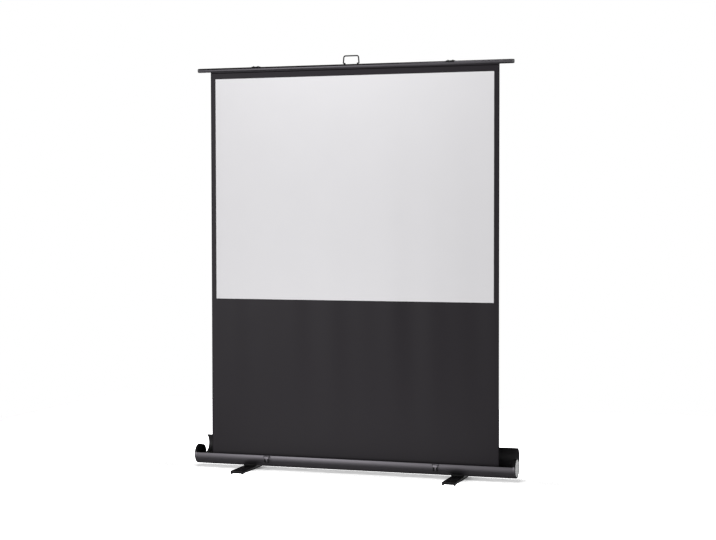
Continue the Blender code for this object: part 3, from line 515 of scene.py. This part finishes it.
def clothOffset(x, height):  # height runs from 0 at the roller to 1 at the hem
    swell = 4 * height * (1 - height)
    total = 0
    for ripple in cloth["ripples"]:
        turn = 2 * math.pi * x / ripple["width"] + ripple["start"] + ripple["drift"] * height
        total += ripple["share"] * math.sin(turn)
    return cloth["wave"] * swell * total


def flatSheet(low, high, faceY, thick, sheetLow, sheetHigh):
    bm = bmesh.new()
    bm.loops.layers.uv.new("flat")
    columns, rows = cloth["columns"], cloth["rows"]
    bmesh.ops.create_grid(bm, x_segments=columns, y_segments=rows, size=0.5, calc_uvs=True)
    width, height = high.x - low.x, high.z - low.z
    middle = Vector(((low.x + high.x) / 2, faceY, (low.z + high.z) / 2))
    upright = Matrix.Rotation(math.pi / 2, 4, "X") @ Matrix.Diagonal((width, height, 1, 1))
    bmesh.ops.transform(bm, matrix=Matrix.Translation(middle) @ upright, verts=bm.verts)
    flat = bm.loops.layers.uv["flat"]
    for face in bm.faces:
        for loop in face.loops:
            loop[flat].uv = (loop.vert.co.x, loop.vert.co.z)
    for vert in bm.verts:
        vert.co.y += clothOffset(vert.co.x, (vert.co.z - sheetLow.z) / (sheetHigh.z - sheetLow.z))
    bmesh.ops.solidify(bm, geom=bm.faces[:], thickness=thick)
    bmesh.ops.recalc_face_normals(bm, faces=bm.faces)
    return bm


def makeWraps(low, high, leave):  # a spiral of half turns that ends where the sheet leaves the roller
    rollCentre = pivots["roller_spin"]
    growth = (leave - cloth["wrapStart"]) / cloth["halfTurns"]
    spiral = Outline(low.x, (rollCentre.y - cloth["wrapStart"], rollCentre.z))
    for turn in range(cloth["halfTurns"]):
        away = growth / 2 if turn % 2 == 0 else 0
        spiral.arc((rollCentre.y + away, rollCentre.z), 180, cloth["wrapSteps"])
    bm = spiral.bm
    pulled = bmesh.ops.extrude_edge_only(bm, edges=bm.edges[:])["geom"]
    bmesh.ops.translate(bm, verts=cornersOf(pulled), vec=(high.x - low.x, 0, 0))
    bmesh.ops.recalc_face_normals(bm, faces=bm.faces)
    bmesh.ops.solidify(bm, geom=bm.faces[:], thickness=cloth["wrapThick"])
    bmesh.ops.recalc_face_normals(bm, faces=bm.faces)
    bm.loops.layers.uv.new("flat")
    return finishPiece("woundCloth", bm, blackCloth, "roller", ["fabric_roll"])


def makeCloth():
    low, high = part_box("screen_fabric")
    imageLow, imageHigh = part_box("image_surface")
    rollCentre = pivots["roller_spin"]
    hemY = (low.y + high.y) / 2
    hemZ = high.z - cloth["hemRadius"]
    sheetTop = Vector((high.x, high.y, hemZ))
    frontY = hemY - cloth["thick"] / 2
    bm = flatSheet(low, sheetTop, frontY, cloth["thick"], low, sheetTop)
    sheet = finishPiece("blackSheet", bm, blackCloth, "case", ["screen_fabric"])
    coatY = frontY - cloth["coatGap"] - cloth["coat"]
    bm = flatSheet(imageLow, imageHigh, coatY, cloth["coat"], low, sheetTop)
    image = finishPiece("imageSurface", bm, imageWhite, "case", ["image_surface"])
    bead = Pipe((low.x, hemY, hemZ), (1, 0, 0), cloth["hemRadius"]).run((high.x - low.x, 0, 0))
    bm = bead.capped(cloth["hemEdge"])
    bm.loops.layers.uv.new("flat")
    hem = finishPiece("sheetHem", bm, blackCloth, "case")
    for piece in (sheet, image, hem):
        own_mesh(piece)
    wraps = makeWraps(low, high, rollCentre.y - hemY)


makeCloth()
print("cloth hung")


# case and lid: two halves of one round extrusion, with a rolled hinge
shell = {
    "wall": 0.0018,
    "split": 0.011,
    "caseLip": 0.005,
    "lidLip": 0.003,
    "lidGap": 0.0009,
    "beadRadius": 0.0024,
    "hookGap": 0.0003,
    "hookWall": 0.0017,
    "hookMouth": 28,
    "lidOpen": 101,
    "edge": 0.00035,
    "steps": 72,
    "beadSteps": 24,
    "hookSteps": 16,
    "rootSteps": 6,
}
caseLow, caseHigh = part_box("case_shell")
caseRadius = -caseLow.y
caseInner = caseRadius - shell["wall"]
caseMid = caseRadius - shell["wall"] / 2
caseZ = caseLow.z + caseRadius
caseHalf = caseHigh.x
hinge = pivots["lid_hinge"]
hingeTurn = math.degrees(math.atan2(hinge.z - caseZ, hinge.y))
caseCentre = (0, caseZ)


def onCase(radius, degrees):
    y, z = polar(radius, degrees)
    return y, caseZ + z


# faces inside the shell take the darker second finish, as painted shade
def shadedInside(bm):
    for face in bm.faces:
        spot = face.calc_center_median()
        if math.hypot(spot.y, spot.z - caseZ) < caseMid and abs(face.normal.x) < 0.5:
            face.material_index = 1
    return bm


def makeCase():
    wall, bead = shell["wall"], shell["beadRadius"]
    front = 180 - math.degrees(math.asin(shell["split"] / caseRadius))
    lipFloor = shell["split"] - wall
    innerFront = 180 - math.degrees(math.asin(lipFloor / caseInner))
    neck = math.degrees(math.sqrt(bead ** 2 - (wall / 2) ** 2) / caseMid)
    rear = 360 + hingeTurn - neck
    neckTurn = math.degrees(math.asin(wall / 2 / bead))
    lipEnd = -caseInner + shell["caseLip"]
    line = Outline(-caseHalf, onCase(caseRadius, front))
    line.arc(caseCentre, rear - front, shell["steps"])
    line.arc((hinge.y, hinge.z), 360 - 2 * neckTurn, shell["beadSteps"])
    line.to(*onCase(caseInner, rear))
    line.arc(caseCentre, innerFront - rear, shell["steps"])
    line.to(lipEnd, caseZ + lipFloor).to(lipEnd, caseZ + shell["split"])
    bm = shadedInside(line.pulled(2 * caseHalf, shell["edge"]))
    trough = finishPiece("caseTrough", bm, anodised, "case", ["case_shell"])
    trough.data.materials.append(shadedTroughInside)


def makeLid():
    wall = shell["wall"]
    hookInner = shell["beadRadius"] + shell["hookGap"]
    hookOuter = hookInner + shell["hookWall"]
    lipZ = shell["split"] + shell["lidGap"]
    front = 180 - math.degrees(math.asin(lipZ / caseRadius))
    innerFront = 180 - math.degrees(math.asin((lipZ + wall) / caseInner))
    start = hingeTurn + math.degrees(math.sqrt(hookOuter ** 2 - (wall / 2) ** 2) / caseMid)
    wallTurn = math.degrees(math.asin(wall / 2 / hookOuter))
    mouthLow = hingeTurn + 270 - shell["hookMouth"]
    mouthHigh = hingeTurn - 90 + shell["lidOpen"] + shell["hookMouth"]
    bead = (hinge.y, hinge.z)
    lipEnd = -caseInner + shell["lidLip"]
    first = polar(hookOuter, mouthHigh)
    low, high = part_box("lid_shell")
    line = Outline(low.x, (bead[0] + first[0], bead[1] + first[1]))
    line.arc(bead, hingeTurn + 90 - wallTurn - mouthHigh, shell["rootSteps"])
    line.to(*onCase(caseRadius, start))
    line.arc(caseCentre, front - start, shell["steps"])
    line.to(lipEnd, caseZ + lipZ).to(lipEnd, caseZ + lipZ + wall)
    line.to(*onCase(caseInner, innerFront))
    line.arc(caseCentre, start - innerFront, shell["steps"])
    line.arc(bead, mouthLow - hingeTurn - 90 - wallTurn, shell["hookSteps"])
    mouth = polar(hookInner, mouthLow)
    line.to(bead[0] + mouth[0], bead[1] + mouth[1])
    line.arc(bead, mouthHigh - mouthLow, shell["beadSteps"])
    bm = shadedInside(line.pulled(high.x - low.x, shell["edge"]))
    openTurn = Matrix.Rotation(-math.radians(shell["lidOpen"]), 3, "X")
    bmesh.ops.rotate(bm, cent=hinge, matrix=openTurn, verts=bm.verts)
    lid = finishPiece("lidShell", bm, anodised, "lid", ["lid_shell"])
    lid.data.materials.append(shadedLidInside)


makeCase()
makeLid()
print("case and lid pulled")


# end caps and their plain discs
disc = {"rim": 0.0009, "groove": 0.0003, "grooveAt": 0.0430, "grooveWidth": 0.0006, "around": 96}


def satinBarrel(piece):  # the cap's barrel is as satin as the case up to the case's lip
    piece.data.materials.append(anodised)
    for face in piece.data.polygons:
        outer = math.hypot(face.center.y, face.center.z - caseZ) > caseMid
        if outer and abs(face.normal.x) < 0.5 and face.center.z < caseZ + shell["split"]:
            face.material_index = 1


def makeCaps():
    for label, node, side in sides:
        satinBarrel(softened("end_cap_" + node, plastic, softEdge["moulded"]))
        low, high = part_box("cap_inlay_" + node)
        radius = (high.z - low.z) / 2
        thick = high.x - low.x
        inner = low.x if side > 0 else high.x
        at, half, deep = disc["grooveAt"], disc["grooveWidth"] / 2, thick - disc["groove"]
        slope = disc["rim"] / 2
        points = [(0, 0), (0, radius), (thick - slope, radius), (thick, radius - slope)]
        points += [(thick, at + half), (deep, at + half / 2)]
        points += [(deep, at - half / 2), (thick, at - half), (thick, 0)]
        bm = turnedShape(points, (inner, 0, caseZ), (side, 0, 0), disc["around"])
        finishPiece("capDisc" + label, bm, discGrey, "case", ["cap_inlay_" + node],
                    angle["fineSmooth"])


makeCaps()
print("caps fitted")


# top bar: slotted tube, end plugs, hangers with their bolts, pull handle
bar = {
    "wall": 0.0015,
    "slot": 0.0026,
    "steps": 64,
    "edge": 0.0003,
    "plugSpigot": 0.015,
    "plugRimStep": 0.0005,
    "plugRound": 0.0022,
    "plugAround": 40,
}
bolt = {
    "spread": 0.013,
    "radius": 0.0042,
    "rise": 0.0024,
    "brim": 0.35,
    "crown": 0.55,
    "socket": 0.0019,
    "socketRim": 1.15,
    "socketLift": 0.00002,
    "depth": 0.0012,
    "around": 24,
}
barLow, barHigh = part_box("top_bar")
barRadius = (barHigh.z - barLow.z) / 2
barCentre = ((barLow.y + barHigh.y) / 2, (barLow.z + barHigh.z) / 2)


def makeBar():
    low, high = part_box("screen_fabric")
    offset = (low.y + high.y) / 2 - barCentre[0]
    inner = barRadius - bar["wall"]

    def slotAt(radius):  # middle and half width, in degrees
        lean = math.asin(offset / radius)
        return -90 + math.degrees(lean), math.degrees(bar["slot"] / 2 / radius / math.cos(lean))

    outerMid, outerHalf = slotAt(barRadius)
    innerMid, innerHalf = slotAt(inner)
    first = polar(barRadius, outerMid + outerHalf)
    back = polar(inner, innerMid - innerHalf)
    line = Outline(barLow.x, (barCentre[0] + first[0], barCentre[1] + first[1]))
    line.arc(barCentre, 360 - 2 * outerHalf, bar["steps"])
    line.to(barCentre[0] + back[0], barCentre[1] + back[1])
    line.arc(barCentre, -360 + 2 * innerHalf, bar["steps"])
    bm = line.pulled(barHigh.x - barLow.x, bar["edge"])
    finishPiece("topBar", bm, anodisedBar, "top_bar", ["top_bar"])


def makePlugs():
    inner = barRadius - bar["wall"] - bar["edge"]
    for label, node, side in sides:
        low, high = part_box("bar_plug_" + node)
        tip = high.x if side > 0 else low.x
        end = barHigh.x
        reach = abs(tip) - end
        rim = barRadius - bar["plugRimStep"]
        soft, spigot, lip = bar["plugRound"], bar["plugSpigot"], bar["edge"]
        points = [(-spigot, 0), (-spigot, inner), (lip, inner), (lip, rim)]
        for turn in quarterTurn:
            out, rise = polar(soft, turn)
            points.append((reach - soft + rise, rim - soft + out))
        points.append((reach, 0))
        bm = turnedShape(points, (side * end, *barCentre), (side, 0, 0), bar["plugAround"])
        finishPiece("barPlug" + label, bm, plugGrey, "top_bar", ["bar_plug_" + node])


def boltHead(place):  # upright domed head with a hexagon socket
    radius, rise, socket = bolt["radius"], bolt["rise"], bolt["socket"]
    brim, crown = bolt["brim"], bolt["crown"]
    points = [(0, 0), (0, radius)]
    for turn in quarterTurn[:-1]:
        out, up = polar(1, turn)
        points.append((rise * (brim + (1 - brim) * up), radius * (crown + (1 - crown) * out)))
    points += [(rise, socket * bolt["socketRim"]), (rise, 0)]
    bm = turnedShape(points, (0, 0, 0), (0, 0, 1), bolt["around"])
    hexagon = bmesh.ops.create_circle(bm, cap_ends=True, radius=socket, segments=6,
                                      matrix=Matrix.Translation((0, 0, rise + bolt["socketLift"])))
    face = hexagon["verts"][0].link_faces[0]
    sunk = bmesh.ops.extrude_face_region(bm, geom=[face])["geom"]
    bmesh.ops.translate(bm, verts=cornersOf(sunk), vec=(0, 0, -bolt["depth"]))
    bmesh.ops.transform(bm, matrix=facing(place, (0, 0, 1)), verts=bm.verts)
    return bm


def makeHangers():
    for label, node, _ in sides:
        softened("rail_hanger_" + node, powder, softEdge["moulded"])
        low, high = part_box("rail_hanger_" + node)
        middle = (low.x + high.x) / 2
        for hand, mark in ((-1, "A"), (1, "B")):
            bm = boltHead((middle + hand * bolt["spread"], barCentre[0], high.z))
            finishPiece("hangerBolt" + label + mark, bm, powder, "top_bar")


handle = {
    "bend": 0.010,
    "foot": 0.0038,
    "stub": 0.010,
    "stubRadius": 0.002,
    "shoulder": 0.0003,
    "slack": 0.0002,
    "lean": 4.2,
    "edge": 0.0006,
    "around": 20,
    "footSteps": 6,
    "bendSteps": 10,
}


def makePullHandle():
    low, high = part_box("pull_handle")
    reach = (high.y - low.y) / 2
    radius = reach - handle["slack"]
    pivot = pivots["handle_fold"]
    leg = high.x - reach
    top = high.z - reach
    foot, bend, lean = handle["foot"], handle["bend"], math.radians(handle["lean"])
    y, z = pivot.y, pivot.z
    climb = top - bend - z - foot
    drift = (climb * math.sin(lean) + bend - foot) / math.cos(lean)
    corner = leg - foot - drift
    slant = climb / math.cos(lean) + (bend - foot) * math.tan(lean)
    straight = handle["stub"] - foot - handle["shoulder"]
    shoulder = (handle["shoulder"], 0, 0)
    wire = Pipe((leg - handle["stub"], y, z), (1, 0, 0), handle["stubRadius"], handle["around"])
    wire.run((straight, 0, 0)).swell(shoulder, radius / handle["stubRadius"])
    wire.bend((leg - foot, y, z + foot), (0, -1, 0), 90 + handle["lean"], handle["footSteps"])
    wire.run((-slant * math.sin(lean), 0, slant * math.cos(lean)))
    wire.bend((corner, y, top - bend), (0, -1, 0), 90 - handle["lean"], handle["bendSteps"])
    wire.run((-2 * corner, 0, 0))
    wire.bend((-corner, y, top - bend), (0, -1, 0), 90 - handle["lean"], handle["bendSteps"])
    wire.run((-slant * math.sin(lean), 0, -slant * math.cos(lean)))
    wire.bend((foot - leg, y, z + foot), (0, -1, 0), 90 + handle["lean"], handle["footSteps"])
    wire.swell(shoulder, handle["stubRadius"] / radius).run((straight, 0, 0))
    bm = wire.capped(handle["edge"])
    finishPiece("pullHandle", bm, powder, "pull_handle", ["pull_handle"])
    for _, node, _ in sides:
        softened("handle_clip_" + node, plastic, softEdge["plain"])


makeBar()
makePlugs()
makeHangers()
makePullHandle()
print("bar and handle made")


# scissor lift: arms, rails and domed rivets
rivet = {"head": 0.0014, "dome": 0.00098, "shankShare": 0.6, "around": 28}


def domed(radius, rise, base):  # a low dome from its rim to its crown
    points = []
    for turn in quarterTurn:
        out, up = polar(1, turn)
        points.append((base + rise * up, radius * out))
    return points


def makeRivets():
    names = [n for n in frame["nodes"] if "_rivet_" in n or n.endswith("_pin")]
    for node in names:
        low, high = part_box(node)
        middle = (low + high) / 2
        head = (high.x - low.x) / 2
        length = high.y - low.y
        shank = head * rivet["shankShare"]
        thick, dome = rivet["head"], rivet["dome"]
        points = [(0, 0), (0, shank)]
        if node.endswith("_pin"):
            points = domed(head, -dome, dome)[::-1] + [(thick, head), (thick, shank)]
        points += [(length - thick, shank), (length - thick, head)]
        points += domed(head, dome, length - dome)
        bm = turnedShape(points, (middle.x, high.y, middle.z), (0, -1, 0), rivet["around"])
        body = frame["nodes"][node]["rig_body"]
        finishPiece(pieceName(node), bm, zinc, body, [node])


def makeLift():
    for stage in (1, 2, 3):
        for layer in ("front", "rear"):
            softened("%s_arm_%d" % (layer, stage), powder, softEdge["arm"])
    for node in ("base_rail", "top_rail"):
        softened(node, powder, softEdge["plain"])
    makeRivets()


makeLift()
print("scissor lift riveted")


# roller and its brackets
def makeRoller():
    softened("roller_tube", rawTube, softEdge["thin"])
    softened("spring_arbor", zinc, softEdge["thin"])
    for _, node, _ in sides:
        softened("roller_plug_" + node, plastic, softEdge["plain"])
        softened("roller_bracket_" + node, zinc, softEdge["plain"])
    spring = frame["nodes"]["torsion_spring"].data  # the coil keeps its solid
    spring.materials.clear()
    spring.materials.append(zinc)


makeRoller()
print("roller set")


# carry handle, latches and feet
pad = {
    "out": 0.0083,
    "width": 0.0064,
    "start": 186,
    "turn": 20,
    "rise": 0.0003,
    "sunk": 0.0005,
    "edge": 0.0001,
    "steps": 12,
}


def makeLatchPads(label, node):  # two dark grips let into the lever
    low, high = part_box("latch_lever_" + node)
    outer = -low.y + pad["rise"]
    inner = -low.y - pad["sunk"]
    end = pad["start"] + pad["turn"]
    for mark, _, hand in sides:
        middle = (low.x + high.x) / 2 + hand * pad["out"]
        line = Outline(middle - pad["width"] / 2, onCase(outer, pad["start"]))
        line.arc(caseCentre, pad["turn"], pad["steps"])
        line.to(*onCase(inner, end))
        line.arc(caseCentre, -pad["turn"], pad["steps"])
        bm = line.pulled(pad["width"], pad["edge"])
        finishPiece("latchPad" + label + mark, bm, plastic, "latch_lever_" + node)


footEnd = {"inset": 0.0029, "back": 0.0010, "thick": 0.003, "base": 0.0046, "top": 0.0022}


def makeFootEnds(label, node):  # push-in plugs that close the channel's ends
    low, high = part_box("foot_" + node)
    wide = high.x - low.x - 2 * footEnd["inset"]
    base, top = footEnd["base"], high.z - footEnd["top"]
    depth = footEnd["back"] + footEnd["thick"] / 2
    size = Matrix.Diagonal((wide, footEnd["thick"], top - base, 1))
    for y, mark in ((low.y + depth, "Front"), (high.y - depth, "Rear")):
        bm = bmesh.new()
        middle = Vector(((low.x + high.x) / 2, y, (base + top) / 2))
        bmesh.ops.create_cube(bm, size=1, matrix=Matrix.Translation(middle) @ size)
        rounded(bm, softEdge["block"])
        finishPiece("footPlug" + label + mark, bm, plastic, "foot_" + node)


def makeFittings():
    for label, node, _ in sides:
        softened("carry_clip_" + node, plastic, softEdge["moulded"])
        softened("lid_catch_" + node, zinc, softEdge["thin"])
        softened("latch_base_" + node, anodised, softEdge["thin"])
        softened("latch_lever_" + node, satinSteel, softEdge["plain"])
        makeLatchPads(label, node)
        softened("latch_bail_" + node, powder, softEdge["thin"])
        softened("foot_saddle_" + node, plastic, softEdge["block"])
        softened("foot_bolt_" + node, zinc, softEdge["plain"])
        softened("foot_" + node, powder, softEdge["plain"])
        makeFootEnds(label, node)
    softened("carry_handle", plastic, softEdge["plain"])


makeFittings()
print("fittings placed")


# studio: white surround, soft lamps in front at the left, above and behind, and the floor's own glow
studio = {
    "floorSize": 6.0,
    "horizon": 0.66,
    "horizonRise": (0.20, 0.55),
    "horizonDrop": (0.42, 0.75),
    "floorColor": (0.80, 0.80, 0.80, 1),
    "shadowReach": (0.05, 0.24),
    "shadowShape": (0.05, 1, 1),
}
lamps = {
    "frontLamp": {"place": (-4.7, -9.4, 1.65), "aim": (0, 0, 1.2), "size": (3.8, 3.2), "power": 255},
    "topLamp": {"place": (-0.1, -1.5, 3.3), "aim": (0, 0, 2.0), "size": (1.4, 1.0), "power": 18},
    "barLamp": {"place": (0.62, -0.76, 3.7), "aim": (0.85, 0, 2.2), "size": (0.8, 0.6), "power": 9},
    "floorLamp": {"place": (-0.15, -1.2, 0.01), "aim": (-0.15, -1.2, 1), "size": (1.6, 1.7), "power": 11},
    "floorSideLamp": {"place": (-1.9, -1.6, 0.01), "aim": (-1.9, -1.6, 1), "size": (1.2, 1.8), "power": 3},
    "rearLamp": {"place": (-2.4, 6.0, 1.2), "aim": (0, 0, 0.9), "size": (2.6, 2.0), "power": 40},
}
onlyDiffuse = "topLamp"  # not seen in reflections
onlyMirrored = "barLamp"  # seen in reflections only


def makeSurround(scene):  # a white band round the horizon, and plain white for the camera
    world = bpy.data.worlds.new("studioWhite")
    scene.world = world
    world.use_nodes = True
    sky = NodeSet(world.node_tree)
    camera = sky.add("ShaderNodeLightPath", output="Is Camera Ray")
    mirrored = camera.other("Is Glossy Ray") + camera.other("Is Transmission Ray")
    direction = sky.add("ShaderNodeTexCoord", output="Object")
    rise = sky.add("ShaderNodeSeparateXYZ", {}, {"Vector": direction}, "Z")
    above = sky.steps(rise, *studio["horizonRise"])
    below = sky.steps(0 - rise, *studio["horizonDrop"])
    band = 1 - above.largest(below)
    glow = studio["horizon"] * band
    strength = glow + (1 - glow) * (camera + mirrored * band)
    background = world.node_tree.nodes["Background"]
    background.inputs["Color"].default_value = (1, 1, 1, 1)
    world.node_tree.links.new(strength.socket, background.inputs["Strength"])


def makeFloor(scene):  # catches the shadow near the case, and is clear beyond it
    bm = bmesh.new()
    bmesh.ops.create_grid(bm, x_segments=1, y_segments=1, size=studio["floorSize"] / 2)
    mesh = bpy.data.meshes.new("studioFloor")
    bm.to_mesh(mesh)
    bm.free()
    floor = bpy.data.objects.new("studioFloor", mesh)
    scene.collection.objects.link(floor)
    plain = {"Base Color": studio["floorColor"], "Roughness": 0.9, "Specular IOR Level": 0.0}
    paint = Finish("floorWhite", **plain)
    reach = paint.add("ShaderNodeMapping", {}, {"Vector": paint.spots(), "Scale": studio["shadowShape"]})
    distance = paint.add("ShaderNodeVectorMath", {"operation": "LENGTH"}, {0: reach}, "Value")
    fade = paint.steps(distance, *studio["shadowReach"])
    solid = Signal(paint, paint.shader.outputs[0])
    clear = paint.add("ShaderNodeBsdfTransparent")
    faded = paint.add("ShaderNodeMixShader", {}, {0: fade, 1: solid, 2: clear})
    paint.tree.links.new(faded.socket, paint.tree.nodes["Material Output"].inputs["Surface"])
    mesh.materials.append(paint.material)
    floor.is_shadow_catcher = True


def makeLamps(scene):
    for name, lamp in lamps.items():
        light = bpy.data.lights.new(name, "AREA")
        light.shape = "RECTANGLE"
        light.size, light.size_y = lamp["size"]
        light.energy = lamp["power"]
        holder = bpy.data.objects.new(name, light)
        scene.collection.objects.link(holder)
        holder.visible_camera = False
        holder.visible_glossy = name != onlyDiffuse
        holder.visible_diffuse = name != onlyMirrored
        holder.location = lamp["place"]
        aim = Vector(lamp["aim"]) - Vector(lamp["place"])
        holder.rotation_euler = aim.to_track_quat("-Z", "Y").to_euler()


def makeStudio():
    scene = bpy.context.scene
    scene.view_settings.view_transform = "Standard"
    makeSurround(scene)
    makeFloor(scene)
    makeLamps(scene)


makeStudio()
print("studio lit")
